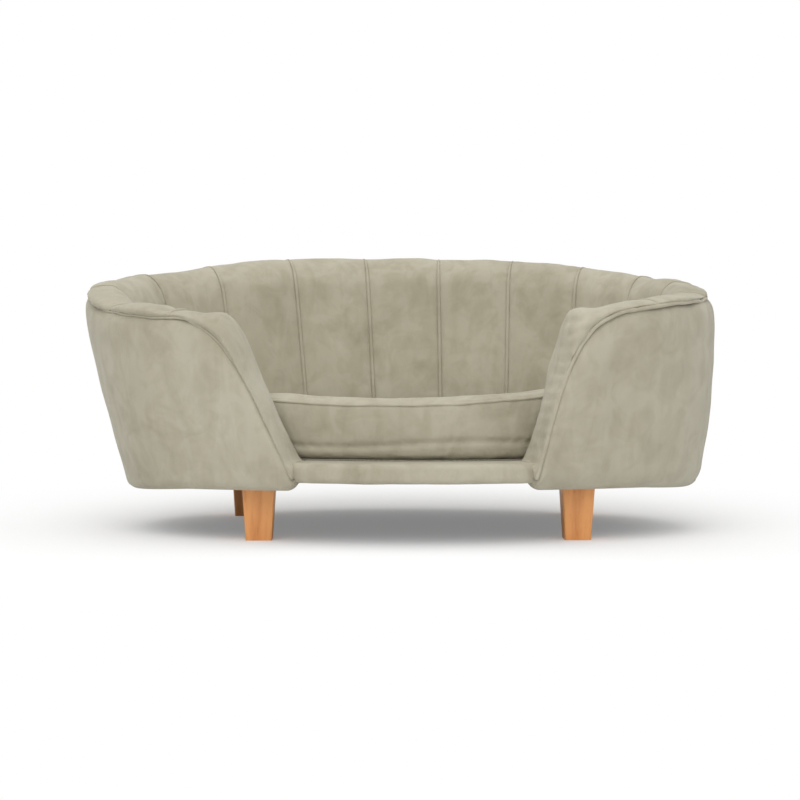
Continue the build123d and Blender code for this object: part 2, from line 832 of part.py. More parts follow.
with BuildPart() as zip_slider:
    with BuildSketch(slider_plane):
        with BuildLine():
            Polyline(
                (chain_place + slider_gap, zip_height + slider_width / 2),
                (slider_face, zip_height + slider_width / 2),
                (slider_face, zip_height - slider_width / 2),
                (chain_place + slider_gap, zip_height - slider_width / 2),
                (chain_place + slider_gap, zip_height - zip_chain_width / 2 - slider_gap),
                (chain_face + slider_gap, zip_height - zip_chain_width / 2 - slider_gap),
                (chain_face + slider_gap, zip_height + zip_chain_width / 2 + slider_gap),
                (chain_place + slider_gap, zip_height + zip_chain_width / 2 + slider_gap),
                close=True,
            )
        make_face()
    extrude(amount=slider_length / 2, both=True)
save(zip_slider.part, "zip_slider")

# Zip pull: the flat tab that lies back along the chain from the slider
with BuildPart() as zip_pull:
    with BuildSketch(slider_plane.offset(pull_overlap)):
        with BuildLine():
            Polyline(
                (slider_face, zip_height + pull_width / 2),
                (slider_face + pull_thickness, zip_height + pull_width / 2),
                (slider_face + pull_thickness, zip_height - pull_width / 2),
                (slider_face, zip_height - pull_width / 2),
                close=True,
            )
        make_face()
    extrude(amount=-pull_length)
save(zip_pull.part, "zip_pull")
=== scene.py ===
"""Dog sofa bed: velvet over a channelled oval tub, a loose piped cushion and tapered beech legs.

Metres, +Z up, front towards -Y. A place along the wall is a distance round the foot of the tub from the
middle of the back, positive to the right. It gives a bearing, the direction of the outward normal.
"""

import bpy
import numpy as np
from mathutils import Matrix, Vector


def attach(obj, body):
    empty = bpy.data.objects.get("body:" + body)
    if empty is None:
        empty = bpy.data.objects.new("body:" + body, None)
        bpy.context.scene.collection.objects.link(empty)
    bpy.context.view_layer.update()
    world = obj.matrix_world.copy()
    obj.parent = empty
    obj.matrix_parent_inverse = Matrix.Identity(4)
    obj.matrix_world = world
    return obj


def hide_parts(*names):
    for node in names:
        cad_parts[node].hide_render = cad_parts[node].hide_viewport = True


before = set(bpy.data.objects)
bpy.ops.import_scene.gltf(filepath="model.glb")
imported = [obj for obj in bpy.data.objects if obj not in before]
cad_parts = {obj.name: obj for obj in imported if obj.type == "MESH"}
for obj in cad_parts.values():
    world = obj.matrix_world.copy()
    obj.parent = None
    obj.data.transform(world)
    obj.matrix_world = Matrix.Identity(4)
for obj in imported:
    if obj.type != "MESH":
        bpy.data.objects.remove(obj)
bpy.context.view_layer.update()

bl_info = {
    "name": "Dog Sofa Bed",
    "version": (1, 0, 0),
    "blender": (4, 5, 0),
    "location": "View3D > Sidebar > Dog Sofa",
    "description": "Dresses the frame of a small channelled sofa for a dog in velvet and beech",
    "category": "Add Mesh",
}


# Plan of the tub
def long_radius(end_x, depth, end_radius):
    """Radius of a long arc that meets the end arc smoothly and reaches a depth in the middle."""
    return (end_x**2 + depth**2 - end_radius**2) / 2 / (depth - end_radius)


FOOT_HALF_LENGTH = 0.320
FOOT_FRONT_DEPTH = 0.205
FOOT_BACK_DEPTH = 0.230
BACK_END_RADIUS = 0.200
FRONT_END_RADIUS = 0.157
BACK_END_X = FOOT_HALF_LENGTH - BACK_END_RADIUS
FRONT_END_X = FOOT_HALF_LENGTH - FRONT_END_RADIUS
BACK_RADIUS = long_radius(BACK_END_X, FOOT_BACK_DEPTH, BACK_END_RADIUS)
FRONT_RADIUS = long_radius(FRONT_END_X, FOOT_FRONT_DEPTH, FRONT_END_RADIUS)
BACK_OFFSET = BACK_RADIUS - FOOT_BACK_DEPTH
FRONT_OFFSET = FRONT_RADIUS - FOOT_FRONT_DEPTH
BACK_BLEND = np.arctan2(BACK_END_X, BACK_OFFSET)
FRONT_BLEND = np.pi - np.arctan2(FRONT_END_X, FRONT_OFFSET)
CENTRE = np.array([0.013607, -0.041932])

# Wall
SHELL_FOOT = 0.057
BACK_HEIGHT, SIDE_HEIGHT, ARM_HEIGHT = 0.317, 0.266, 0.241
BACK_LEAN, ARM_LEAN = np.radians(12.0), np.radians(8.7)
LEFT_LEAN, RIGHT_LEAN = np.radians(14.0), np.radians(6.5)
LINING_FOOT = 0.0827
LINING_INSET = 0.0501
FOAM_INSET = 0.0321
COVER_THICKNESS = 0.008
BASE_UNDERSIDE = 0.0665
LIP_UNDERSIDE = 0.0645
LIP_WIDTH = 0.026
SLOT_FOOT = 0.0842
ROLL_DEPTH = 0.021

# Slip of the wall to the left, for its rise: the mean of back and front, and half of what they differ by
SLIP, SLIP_CHANGE = 0.066, 0.036

# Arms: runs back from the arm's end, round the foot of the wall. The opening stands a little to the left.
OPENING_HALF_WIDTH = 0.127
OPENING_OFFSET = 0.006
CREST_FOOT, SEAM_FOOT = 0.086, 0.062
CREST_FALL = (0.063, 0.003)
SLOT_FALL = (0.085, 0.013)
SEAM_FALL_START, SEAM_FALL_REACH, SEAM_FALL_POWER = -0.003, 0.041, 1.4

# Velvet over the frame: how much fuller it stands at the foot of both ends, how much it leans in on the
# left and the right, and how far its foot sags there
FOOT_FULLNESS = 0.005
END_LEAN = (-0.009, -0.054)
FOOT_SAG = (0.010, 0.008)
FOOT_CORNER = (0.008, 0.017)
SEAM_TUCK, END_SEAM_TUCK = 0.0025, (0.0075, 0.0095)

# Drop of the outer seam under the rim, by the run from the arm's end
LEFT_WELT_DROPS = ((0.0, 0.0), (0.09, 0.001), (0.14, 0.013), (0.21, 0.013), (0.30, 0.008))
RIGHT_WELT_DROPS = ((0.0, 0.0), (0.09, 0.0), (0.12, 0.005), (0.20, 0.007), (0.26, 0.008))

# How far the stuffed rim stands above its plain curve, by the distance round the wall
RIM_LIFTS = (
    (-0.74, -0.004), (-0.64, -0.002), (-0.58, 0.006), (-0.52, 0.006), (-0.44, 0.007), (-0.36, 0.001),
    (-0.27, -0.008), (-0.15, -0.003), (0.0, -0.004), (0.12, -0.004), (0.25, -0.009), (0.32, -0.005),
    (0.40, 0.006), (0.48, 0.011), (0.56, 0.014), (0.61, 0.010), (0.65, 0.004), (0.75, 0.002),
)

# Cushion and front rail
RAIL_TOP = 0.085
CUSHION_FOOT = 0.0867
CUSHION_SEAM = 0.1427
CUSHION_SLOPE = np.tan(np.radians(2.4))
CUSHION_INSET = 0.056
BATTEN_REACH = 0.0567

# Sides of every cord
CORD_SIDES = 12

# Points of a section of the lining up to the crest, down the roll and down the wall, and the last one shown
LINING_ROWS = (15, 21, 30)
LINING_SHOWN = 65

# How far a channel's middle stands out from the lining board
CHANNEL_PUFF = 0.0065

# Distances of the seams between the fifteen channels
CHANNEL_SEAMS = (
    -0.612, -0.528, -0.436, -0.333, -0.238, -0.139, -0.046, 0.044, 0.1335, 0.222, 0.310, 0.398, 0.492, 0.592,
)
CHANNELS = [f"channel_{number:02d}" for number in range(1, len(CHANNEL_SEAMS) + 2)]
LEGS = ("leg_front_left", "leg_front_right", "leg_rear_left", "leg_rear_right")
ARC_BEARINGS = np.array([0.0, BACK_BLEND, np.pi / 2, FRONT_BLEND, np.pi])
ARC_RADII = np.array([BACK_RADIUS, BACK_END_RADIUS, FRONT_END_RADIUS, FRONT_RADIUS])
ARC_DISTANCES = np.concatenate([[0.0], np.cumsum(np.diff(ARC_BEARINGS) * ARC_RADII)])


def bearing_at(distance):
    """Bearing at a distance round the foot: linear along each arc of the plan."""
    return np.sign(distance) * np.interp(np.abs(distance), ARC_DISTANCES, ARC_BEARINGS)


ARM_RUN = ARC_DISTANCES[-1] - OPENING_HALF_WIDTH
LEFT_END, RIGHT_END = OPENING_OFFSET - ARM_RUN, OPENING_OFFSET + ARM_RUN


def run_at(distance):
    """How far back from the nearer arm's end."""
    return ARM_RUN - np.abs(distance - OPENING_OFFSET)


def wall_place(distance, across, height):
    """Points of the wall: the arc's centre, plus its radius and the reach across, along the normal."""
    bearing = bearing_at(distance)
    turn = np.abs(bearing)
    arc = [turn <= BACK_BLEND, turn <= np.pi / 2, turn < FRONT_BLEND]
    centre_x = np.select(arc, [0.0, BACK_END_X, FRONT_END_X], 0.0)
    centre_y = np.select(arc, [-BACK_OFFSET, 0.0, 0.0], FRONT_OFFSET)
    radius = np.select(arc, ARC_RADII[:3], FRONT_RADIUS)
    x = np.where(distance < 0, -1.0, 1.0) * (centre_x + (radius + across) * np.sin(turn))
    y = centre_y + (radius + across) * np.cos(turn)
    return np.stack(np.broadcast_arrays(x + CENTRE[0], y + CENTRE[1], height), axis=-1)


def outer_face(bearing, height):
    """Reach of the outer face: the rise above the foot times the tangent of the lean at the bearing.

    At the two ends it is a little fuller at the foot and more upright, by the square of the bearing's sine.
    """
    side_lean = (RIGHT_LEAN + LEFT_LEAN) / 2 + (RIGHT_LEAN - LEFT_LEAN) / 2 * np.sin(bearing)
    end_lean = np.where(np.abs(bearing) < np.pi / 2, BACK_LEAN, ARM_LEAN)
    rise = height - SHELL_FOOT
    fuller = (FOOT_FULLNESS + np.where(bearing < 0, *END_LEAN) * rise) * np.sin(bearing) ** 2
    return rise * np.tan(side_lean + (end_lean - side_lean) * np.cos(bearing) ** 2) + fuller


def drift(distance, height):
    """Slip of a point along the wall as it rises: a lean to the left, a third as strong along the back."""
    back = np.cos(bearing_at(distance))
    return -(SLIP - SLIP_CHANGE * back) * back * (height - SHELL_FOOT)


def leaning_place(distance, across_of, height):
    """Points of the leaning wall, whose reach across is a function of bearing and height."""
    slipped = distance + drift(distance, height)
    return wall_place(slipped, across_of(bearing_at(slipped), height), height)


def smooth_step(share):
    """Zero to one with level ends: three squares less two cubes."""
    share = np.clip(share, 0.0, 1.0)
    return share * share * (3.0 - 2.0 * share)


def hand_curve(place, knots):
    """A curve through listed values, with a smooth step from each to the next."""
    places, values = np.array(knots).T
    index = np.clip(np.searchsorted(places, place) - 1, 0, len(places) - 2)
    share = smooth_step((place - places[index]) / (places[index + 1] - places[index]))
    return values[index] + (values[index + 1] - values[index]) * share


def rim_height(distance):
    """Height of the rim: a parabola in the bearing's cosine, through back, side and arm, plus its lift."""
    t = np.cos(bearing_at(distance))
    slope, curve = (BACK_HEIGHT - ARM_HEIGHT) / 2, (BACK_HEIGHT + ARM_HEIGHT) / 2 - SIDE_HEIGHT
    return SIDE_HEIGHT + slope * t + curve * t * t + hand_curve(distance, RIM_LIFTS)


def s_fall(distance, runs, high, low):
    """Smooth fall from high to low between two runs back from the arm's end."""
    return high + (low - high) * smooth_step((runs[0] - run_at(distance)) / (runs[0] - runs[1]))


def crest_height(distance):
    return s_fall(distance, CREST_FALL, rim_height(distance), CREST_FOOT)


def seam_height(distance):
    """The outer seam: it climbs from its foot to the level under the rim, ever more gently."""
    run = run_at(distance)
    drop = np.where(distance < 0, hand_curve(run, LEFT_WELT_DROPS), hand_curve(run, RIGHT_WELT_DROPS))
    level = rim_height(distance) - drop
    climb = np.clip((run - SEAM_FALL_START) / SEAM_FALL_REACH, 0.0, None) ** SEAM_FALL_POWER
    return level + (SEAM_FOOT - level) * np.exp(-climb)


def seam_tuck(distance):
    """How far the outer seam is drawn in behind the full face: most at the two ends of the tub."""
    return SEAM_TUCK + np.where(distance < 0, *END_SEAM_TUCK) * np.sin(bearing_at(distance)) ** 2


def slot_height(distance):
    return s_fall(distance, SLOT_FALL, rim_height(distance) - ROLL_DEPTH, SLOT_FOOT)


def ripple(points, size, seed, waves=9):
    """Gentle unevenness from -1 to 1: a mean of sines of random directions, lengths near size."""
    rng = np.random.default_rng(seed)
    directions = rng.normal(size=(waves, 3))
    directions /= np.linalg.norm(directions, axis=1, keepdims=True)
    numbers = 2 * np.pi / (size * rng.uniform(0.7, 1.5, waves))
    phases = rng.uniform(0, 2 * np.pi, waves)
    angles = np.tensordot(points, (directions * numbers[:, None]).T, axes=1) + phases
    return np.sin(angles).sum(axis=-1) / np.sqrt(waves) / 1.6


def grid_normals(points):
    """Unit normals of a grid of points: the cross product of its two directions."""
    along = np.gradient(points, axis=0)
    around = np.gradient(points, axis=1)
    normals = np.cross(along, around)
    return normals / np.maximum(np.linalg.norm(normals, axis=-1, keepdims=True), 1e-12)


def ring_numbers(points):
    """Numbers of a grid's points, and of the next point round each ring."""
    index = np.arange(points[..., 0].size).reshape(points.shape[:2])
    return index, np.roll(index, -1, axis=1)


def tube_mesh(points):
    """Faces of a grid of closed rings, each joined to the next, with a fan to the middle of both ends."""
    index, after = ring_numbers(points)
    quads = np.stack([index[:-1], index[1:], after[1:], after[:-1]], axis=-1).reshape(-1, 4)
    start_fan = np.stack([index[0], after[0], np.full_like(index[0], index.size)], axis=-1)
    end_fan = np.stack([after[-1], index[-1], np.full_like(index[0], index.size + 1)], axis=-1)
    corners = np.concatenate([points.reshape(-1, 3), points[:1].mean(axis=1), points[-1:].mean(axis=1)])
    return corners, quads.tolist() + start_fan.tolist() + end_fan.tolist()


def ring_mesh(points):
    """Faces of a grid whose rings and whose rows both close, as on a hoop."""
    index, after = ring_numbers(points)
    ahead, both = np.roll(index, -1, axis=0), np.roll(after, -1, axis=0)
    return points.reshape(-1, 3), np.stack([index, ahead, both, after], axis=-1).reshape(-1, 4).tolist()


def vertex_rows(mesh, kind="co"):
    """Places or normals of a mesh's vertices, a row for each."""
    values = np.empty(len(mesh.vertices) * 3)
    mesh.vertices.foreach_get(kind, values)
    return values.reshape(-1, 3)


def set_places(mesh, places):
    mesh.vertices.foreach_set("co", np.ascontiguousarray(places).ravel())
    mesh.update()


def add_object(name, data):
    """New object at the origin, linked to the scene."""
    added = bpy.data.objects.new(name, data)
    bpy.context.scene.collection.objects.link(added)
    return added


def make_piece(name, mesh_data, material, body, nodes=()):
    """Object of a closed mesh, with outward faces, that rides on a body and stands for some nodes."""
    corners, faces = mesh_data
    mesh = bpy.data.meshes.new(name)
    mesh.from_pydata(corners.tolist(), [], faces)
    mesh.update()
    a, b, c = (corners[[face[i] for face in faces]] for i in range(3))
    volume = np.einsum("ij,ij->i", a, np.cross(b, c)).sum()
    fourth = np.array([face[3] if len(face) == 4 else face[0] for face in faces])
    volume += np.einsum("ij,ij->i", a, np.cross(c, corners[fourth])).sum()
    if volume < 0:
        mesh.flip_normals()
    mesh.shade_smooth()
    piece = add_object(name, mesh)
    mesh.materials.append(material)
    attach(piece, body)
    if nodes:
        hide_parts(*nodes)
    return piece


def tube_along(path, radius, hint=(0.0, 0.0, 1.0), closed=False):
    """Rings round a path: each point plus radius times cosine and sine in the plane across the path.

    The hint is a direction, or one for each point, that never runs along the path.
    """
    ahead = np.roll(path, -1, axis=0) if closed else np.concatenate([path[1:], 2 * path[-1:] - path[-2:-1]])
    behind = np.roll(path, 1, axis=0) if closed else np.concatenate([2 * path[:1] - path[1:2], path[:-1]])
    tangent = ahead - behind
    tangent /= np.linalg.norm(tangent, axis=1, keepdims=True)
    side = np.cross(tangent, hint)
    side /= np.linalg.norm(side, axis=1, keepdims=True)
    up = np.cross(side, tangent)
    angles = np.linspace(0, 2 * np.pi, CORD_SIDES, endpoint=False)[None, :, None]
    size = np.reshape(radius, (-1, 1, 1))
    return path[:, None] + size * (np.cos(angles) * side[:, None] + np.sin(angles) * up[:, None])


# Materials
def linear(colour):
    """Linear colour of an 8-bit colour as the eye sees it."""
    share = np.array(colour) / 255.0
    return tuple(np.where(share <= 0.04045, share / 12.92, ((share + 0.055) / 1.055) ** 2.4))


def set_inputs(node, values):
    for name, value in values.items():
        node.inputs[name].default_value = value


class Finish:
    """Node tree of one material, with short calls for the nodes that the finishes here use."""

    def __init__(self, name, roughness, metallic=0.0):
        self.material = bpy.data.materials.new(name)
        self.material.use_nodes = True
        self.nodes = self.material.node_tree.nodes
        self.links = self.material.node_tree.links
        self.shader = self.nodes["Principled BSDF"]
        set_inputs(self.shader, {"Roughness": roughness, "Metallic": metallic})
        self.place = self.nodes.new("ShaderNodeTexCoord").outputs["Object"]

    def stretched(self, scale):
        """Object coordinates, scaled along each axis."""
        mapping = self.nodes.new("ShaderNodeMapping")
        set_inputs(mapping, {"Scale": scale})
        self.links.new(self.place, mapping.inputs["Vector"])
        return mapping.outputs["Vector"]

    def noise(self, scale, detail=3.0, place=None, distortion=0.0):
        node = self.nodes.new("ShaderNodeTexNoise")
        set_inputs(node, {"Scale": scale, "Detail": detail, "Distortion": distortion})
        self.links.new(place or self.place, node.inputs["Vector"])
        return node.outputs["Fac"]

    def wave(self, scale, distortion, direction):
        node = self.nodes.new("ShaderNodeTexWave")
        node.bands_direction = direction
        set_inputs(node, {"Scale": scale, "Distortion": distortion})
        self.links.new(self.place, node.inputs["Vector"])
        return node.outputs["Fac"]

    def ramp(self, value, stops):
        """Colours at given places between 0 and 1."""
        node = self.nodes.new("ShaderNodeValToRGB")
        elements = node.color_ramp.elements
        while len(elements) < len(stops):
            elements.new(0.5)
        for element, (where, colour) in zip(elements, stops):
            element.position = where
            element.color = (*colour, 1.0)
        self.links.new(value, node.inputs["Fac"])
        return node.outputs["Color"]

    def mix(self, share, first, second):
        """Two colours mixed, with a share for the second."""
        node = self.nodes.new("ShaderNodeMix")
        node.data_type = "RGBA"
        node.inputs[0].default_value = share
        self.links.new(first, node.inputs[6])
        self.links.new(second, node.inputs[7])
        return node.outputs[2]

    def sum(self, first, second, weight):
        """First pattern plus the second times a weight."""
        node = self.nodes.new("ShaderNodeMath")
        node.operation = "MULTIPLY_ADD"
        self.links.new(second, node.inputs[0])
        node.inputs[1].default_value = weight
        self.links.new(first, node.inputs[2])
        return node.outputs[0]

    def colour(self, value):
        self.links.new(value, self.shader.inputs["Base Color"])

    def bump(self, value, depth, strength):
        node = self.nodes.new("ShaderNodeBump")
        set_inputs(node, {"Strength": strength, "Distance": depth})
        self.links.new(value, node.inputs["Height"])
        self.links.new(node.outputs["Normal"], self.shader.inputs["Normal"])


def velvet(name, pale, middle, shade):
    """Short pile: clouds where it lies one way or the other, faint brushed streaks, and a soft sheen."""
    finish = Finish(name, roughness=0.88)
    clouds = finish.noise(9.0, detail=4.0, distortion=0.6)
    streaks = finish.noise(16.0, place=finish.stretched((2.0, 2.0, 0.5)), distortion=1.4)
    patches = finish.sum(finish.noise(30.0, detail=4.0, distortion=1.2), streaks, 0.8)
    broad = finish.ramp(clouds, [(0.26, shade), (0.50, middle), (0.74, pale)])
    small = finish.ramp(patches, [(0.62, shade), (0.86, middle), (1.10, pale)])
    finish.colour(finish.mix(0.42, broad, small))
    pile = finish.noise(2600.0, detail=1.0)
    creases = finish.noise(24.0, detail=2.0, place=finish.stretched((1.0, 1.0, 0.45)), distortion=1.5)
    uneven = finish.sum(finish.sum(pile, finish.noise(70.0, detail=2.0), 3.0), creases, 7.0)
    finish.bump(uneven, 0.0006, 0.6)
    set_inputs(finish.shader, {"Sheen Weight": 0.22, "Sheen Roughness": 0.45, "Specular IOR Level": 0.18})
    return finish.material


def beech(name, pale, deep):
    """Satin beech: long soft bands of grain up the leg, fine dark flecks, a thin lacquer."""
    finish = Finish(name, roughness=0.42)
    bands = finish.noise(9.0, detail=5.0, place=finish.stretched((9.0, 9.0, 0.8)), distortion=0.4)
    flecks = finish.noise(60.0, detail=2.0, place=finish.stretched((9.0, 9.0, 0.9)))
    grain = finish.ramp(bands, [(0.30, deep), (0.52, pale), (0.75, pale)])
    marks = finish.ramp(flecks, [(0.28, deep), (0.42, pale)])
    finish.colour(finish.mix(0.30, grain, marks))
    finish.bump(finish.sum(bands, flecks, 0.5), 0.0003, 0.4)
    set_inputs(finish.shader, {"Coat Weight": 0.15, "Coat Roughness": 0.35})
    return finish.material


def plywood(name):
    """Birch plywood: stacked veneers seen on the edges, broad grain on the faces."""
    finish = Finish(name, roughness=0.7)
    pale, deep = linear((212, 184, 142)), linear((168, 128, 84))
    plies = finish.wave(240.0, 0.4, "Z")
    grain = finish.noise(14.0, detail=4.0, place=finish.stretched((0.6, 6.0, 6.0)), distortion=0.7)
    faces = finish.ramp(grain, [(0.3, deep), (0.6, pale)])
    edges = finish.ramp(plies, [(0.35, deep), (0.6, pale)])
    finish.colour(finish.mix(0.35, faces, edges))
    finish.bump(grain, 0.0003, 0.5)
    return finish.material


def fibreboard(name):
    """Bent fibreboard: even brown with short pale fibres."""
    finish = Finish(name, roughness=0.85)
    fibres = finish.noise(420.0, place=finish.stretched((1.0, 1.0, 2.4)))
    finish.colour(finish.ramp(fibres, [(0.35, linear((112, 84, 56))), (0.65, linear((148, 116, 80)))]))
    finish.bump(fibres, 0.0002, 0.5)
    return finish.material


def woven(name, thread_colour, gap_colour, threads):
    """Plain weave: two crossed waves of threads, a little uneven in colour."""
    finish = Finish(name, roughness=0.9)
    weave = finish.sum(finish.wave(threads, 0.3, "X"), finish.wave(threads, 0.3, "Y"), 1.0)
    wear = finish.noise(24.0)
    cloth = finish.ramp(weave, [(0.4, gap_colour), (1.2, thread_colour)])
    tint = finish.ramp(wear, [(0.3, gap_colour), (0.7, thread_colour)])
    finish.colour(finish.mix(0.35, cloth, tint))
    finish.bump(weave, 0.0003, 0.6)
    return finish.material


def bare_metal(name, colour, roughness):
    """Plated metal: even colour with faint cloudy wear."""
    finish = Finish(name, roughness=roughness, metallic=1.0)
    wear = finish.noise(160.0)
    worn = tuple(0.78 * part for part in colour)
    finish.colour(finish.ramp(wear, [(0.3, worn), (0.6, colour)]))
    finish.bump(wear, 0.0001, 0.3)
    return finish.material


def zip_tape(name):
    """Zip band: a herringbone tape with a raised chain of teeth along its middle height."""
    finish = Finish(name, roughness=0.8)
    teeth = finish.wave(300.0, 0.0, "X")
    finish.colour(finish.ramp(teeth, [(0.4, linear((120, 114, 98))), (0.6, linear((172, 166, 146)))]))
    finish.bump(teeth, 0.0006, 0.8)
    return finish.material


# Sections of the wall, each a closed ring of reaches across and heights
def side_by_side(parts, rows):
    """Parts of a ring next to each other, each spread over all the rings."""
    return np.concatenate([np.broadcast_to(part, (rows, part.shape[1])) for part in parts], axis=1)


def cover_rings(distance, columns=46):
    """Rings of the outer cover: in under the welt, down the full face, round the foot to the lip, and back.

    The face is the leaning wall plus a parabola for its belly, less an exponential where the welt draws
    it in. The foot is a quarter ellipse. Near the arm's end a quarter circle turns the face and the foot in.
    """
    end_round, end_draw, end_rise = 0.011, 0.0065, 0.007
    full_belly, tuck_reach, crease = 0.0050, 0.007, 0.0014
    d = distance[:, None]
    seam = seam_height(d) - 0.0006
    turned = np.sqrt(np.clip(1.0 - (1.0 - np.clip(run_at(d) / end_round, 0, 1)) ** 2, 0, 1))
    drawn = end_draw * (1.0 - turned)
    sag = np.where(d < 0, *FOOT_SAG) * np.sin(bearing_at(d)) ** 2
    foot = SHELL_FOOT + end_rise * (1.0 - turned) - sag
    corner = np.where(d < 0, *FOOT_CORNER)
    corner_top = np.minimum(foot + 1.5 * corner, (foot + seam) / 2)
    belly = full_belly * (seam - corner_top) / (rim_height(d) - SHELL_FOOT)
    t = np.linspace(0, 1, columns)[None, :] ** 1.4
    face_height = seam + (corner_top - seam) * t
    low = np.clip((seam - face_height) / tuck_reach, 0.0, None)
    tuck = (seam_tuck(d) - drawn * 0.4) * np.exp(-low) + crease * np.exp(-3.5 * low)
    reach = 4 * t * (1 - t) * belly - tuck - drawn
    turn = np.linspace(0, np.pi / 2, 13)[None, 1:]
    corner_height = corner_top - (corner_top - foot) * np.sin(turn)
    corner_reach = -drawn - corner * (1 - np.cos(turn))
    under = np.linspace(0, 1, 7)[None, 1:]
    under_height = foot + (LIP_UNDERSIDE - foot) * smooth_step(under)
    under_reach = -drawn - corner - (LIP_WIDTH - corner) * under
    back_reach = np.array([[-LIP_WIDTH, -COVER_THICKNESS]]) - drawn
    back_height = np.array([[BASE_UNDERSIDE, BASE_UNDERSIDE]])
    inside = np.linspace(0, 1, 8)[None, 1:]
    inside_height = BASE_UNDERSIDE + (seam - BASE_UNDERSIDE) * inside
    inside_tuck = seam_tuck(d) * np.exp(-(seam - inside_height) / tuck_reach)
    inside_reach = -COVER_THICKNESS + 0.0008 - drawn - inside_tuck
    top = np.array([[0.7, 0.35]])
    top_height = seam + 0.0004 * np.ones_like(top)
    top_reach = -COVER_THICKNESS * top - drawn - seam_tuck(d)
    rows = len(distance)
    reach = side_by_side((reach, corner_reach, under_reach, back_reach, inside_reach, top_reach), rows)
    heights = (face_height, corner_height, under_height, back_height, inside_height, top_height)
    return leaning_place(d, lambda bearing, z: outer_face(bearing, z) + reach, side_by_side(heights, rows))


def seam_fullness(share):
    """How full a channel is across its width: a flat-topped arch that turns down fast at its seams."""
    return np.sqrt(np.clip(1.0 - np.abs(2 * share - 1) ** 2.8, 0.0, 1.0))


def lining_rings(distance, fullness, seam_lift, puff, crest_puff):
    """Rings of the lining: up from the outer seam, over the rim on two quarter ellipses, down to the seat.

    The crest and the inner face stand out by the fullness times the puff. The rest of the ring runs back
    under the roll, out of sight.
    """
    least_rise, rise_blend, inner_fall = 0.007, 0.004, 0.034
    d = distance[:, None]
    full = fullness[:, None]
    seam = seam_height(d) + 0.0004
    inner_crest = crest_height(d)
    share = (inner_crest - LINING_FOOT) / (rim_height(d) - LINING_FOOT)
    inner_crest = inner_crest - crest_puff[:, None] * (1.0 - full) * share
    excess = inner_crest - seam - least_rise
    crest = seam + least_rise + (excess + np.hypot(excess, rise_blend)) / 2
    inset = LINING_INSET + seam_lift + puff * full
    inner = inner_crest - np.minimum(inner_fall, inner_crest - LINING_FOOT - 0.0015)
    skirt = seam + (crest - seam) * 0.16
    tuck = seam_tuck(d)
    bulge = (0.0014 + 0.25 * crest_puff[:, None]) * full

    outer_turn = np.linspace(0, np.pi / 2, LINING_ROWS[0])[None, :]
    inner_turn = np.linspace(0, np.pi / 2, LINING_ROWS[1])[None, 1:]
    fall = np.linspace(0, 1, LINING_ROWS[2])[None, 1:]
    heights = (
        seam, skirt + (crest - skirt) * np.sin(outer_turn) ** 0.9,
        crest - (crest - inner) * (1 - np.cos(inner_turn)), inner + (LINING_FOOT - inner) * fall,
    )
    shares = (np.ones((1, 1)), 0.5 + 0.5 * np.cos(outer_turn), 0.5 - 0.5 * np.sin(inner_turn), 0.0 * fall)
    height = side_by_side(heights, len(distance))
    outward = side_by_side(shares, len(distance))
    middle = crest + 0 * height

    def across(bearing, z):
        level = np.minimum(z, middle)
        rise = np.clip((z - seam) / np.maximum(crest - seam, 0.001), 0, 1)
        outside = outer_face(bearing, level) - tuck + bulge * np.sin(np.pi * rise)
        inside = outer_face(bearing, level) - inset
        return inside + (outside - inside) * outward

    shown = leaning_place(d, across, height)
    slot = np.minimum(slot_height(d), crest - 0.006)
    back = [
        (-FOAM_INSET, LINING_FOOT), (-FOAM_INSET, (LINING_FOOT + slot) / 2), (-FOAM_INSET, slot),
        (-COVER_THICKNESS - 0.002 - tuck, np.minimum(slot, seam + 0.002)),
        (-COVER_THICKNESS - tuck, seam + 0.0002),
    ]
    hidden = [leaning_place(d, lambda bearing, z, r=r: outer_face(bearing, z) + r, h) for r, h in back]
    return np.concatenate([shown] + hidden, axis=1)


def crest_puff_at(distance):
    """How far the seams dip at the crest: little at the back, most on the arms."""
    deep = np.where(distance < 0, 0.0120, 0.0068)
    return 0.0022 + deep * smooth_step((np.abs(distance) - 0.32) / 0.16)


def gathers(distance, along, reach, size):
    """Small folds beside a seam: a sine along it with a wandering wavelength, fading within a reach."""
    wander = np.sin(distance / 0.013) + 1.7 * np.sin(distance / 0.047 + 1.0)
    strength = np.clip(0.45 + 0.55 * np.sin(distance / 0.071 + 2.0), 0.0, 1.0)
    return size * strength * np.sin(distance / 0.0016 + wander) * np.exp(-along / reach)


# Makers of the soft pieces
def spread_rows(start, end, spacing, end_spacing):
    """Distances from start to end, close together on the falling arm fronts."""
    fine = np.linspace(LEFT_END, RIGHT_END, 8001)
    on_arm = run_at(fine) < 0.075
    density = np.cumsum(np.where(on_arm, 1 / end_spacing, 1 / spacing))
    ends = np.interp([start, end], fine, density)
    count = max(12, int(np.ptp(ends) * (fine[1] - fine[0])))
    return np.interp(np.linspace(*ends, count), density, fine)


def make_outer_cover(material):
    shown = 52
    distance = spread_rows(LEFT_END, RIGHT_END, spacing=0.0045, end_spacing=0.0016)
    points = cover_rings(distance)
    normals = grid_normals(points)
    soft = 0.0017 * ripple(points * [1.0, 1.0, 0.45], 0.075, 3)
    soft += 0.0006 * ripple(points * [1.0, 1.0, 0.6], 0.026, 4)
    below = np.clip(seam_height(distance)[:, None] - points[..., 2], 0, None)
    folds = gathers(distance[:, None], below, reach=0.010, size=0.00035)
    points = points + normals * ((soft + folds) * (np.arange(points.shape[1]) < shown))[..., None]
    make_piece("outer_cover_velvet", tube_mesh(points), material, "tub", ["outer_cover"])


